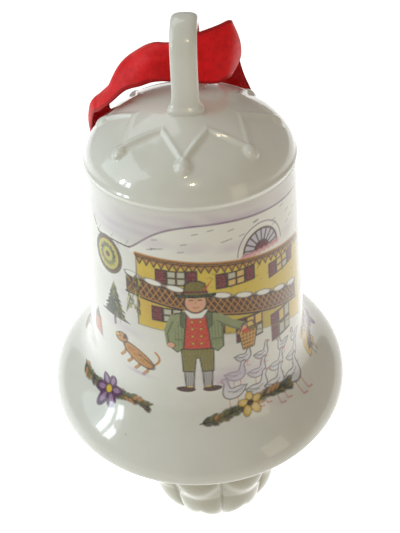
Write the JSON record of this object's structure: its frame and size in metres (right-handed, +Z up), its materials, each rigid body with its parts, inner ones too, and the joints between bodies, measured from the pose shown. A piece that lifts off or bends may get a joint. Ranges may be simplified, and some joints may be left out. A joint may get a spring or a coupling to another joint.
{
  "type": "christmas bell ornament",
  "caption": "Glazed porcelain bell with a strap loop and red ribbon, a moulded crown, a flared lip, a printed winter scene and a large lobed porcelain clapper on a wire.",
  "frame": {"origin": "middle of the underside of the hanging loop's top, where the bell hangs", "axes": "+Z up along the bell's axis; -Y is the printed front; the loop's opening runs along X"},
  "size_m": [0.07, 0.07, 0.1141],
  "materials": {
    "porcelain": "white porcelain under a clear gloss glaze",
    "clapper_porcelain": "white porcelain under a clear gloss glaze",
    "steel_wire": "drawn steel wire",
    "plaster": "matt plaster cement",
    "satin": "red satin ribbon"
  },
  "bodies": {
    "bell": {"bell_body": "porcelain", "hanging_loop": "porcelain", "crown_plug": "plaster", "wire_eye": "steel_wire", "ribbon": "satin"},
    "ring": {"jump_ring": "steel_wire"},
    "clapper": {"clapper_hanger": "steel_wire", "clapper": "clapper_porcelain", "clapper_cap": "plaster"}
  },
  "joints": [
    {"name": "ring_turn", "type": "hinge", "parent": "bell", "child": "ring", "pos_m": [0, 0, -0.0219], "axis": [0, 0, 1], "range_deg": [-45, 45]},
    {"name": "clapper_swing", "type": "hinge", "parent": "ring", "child": "clapper", "pos_m": [0, 0, -0.0263], "axis": [0.9816, 0.1908, 0], "range_deg": [0, 30.8]}
  ]
}
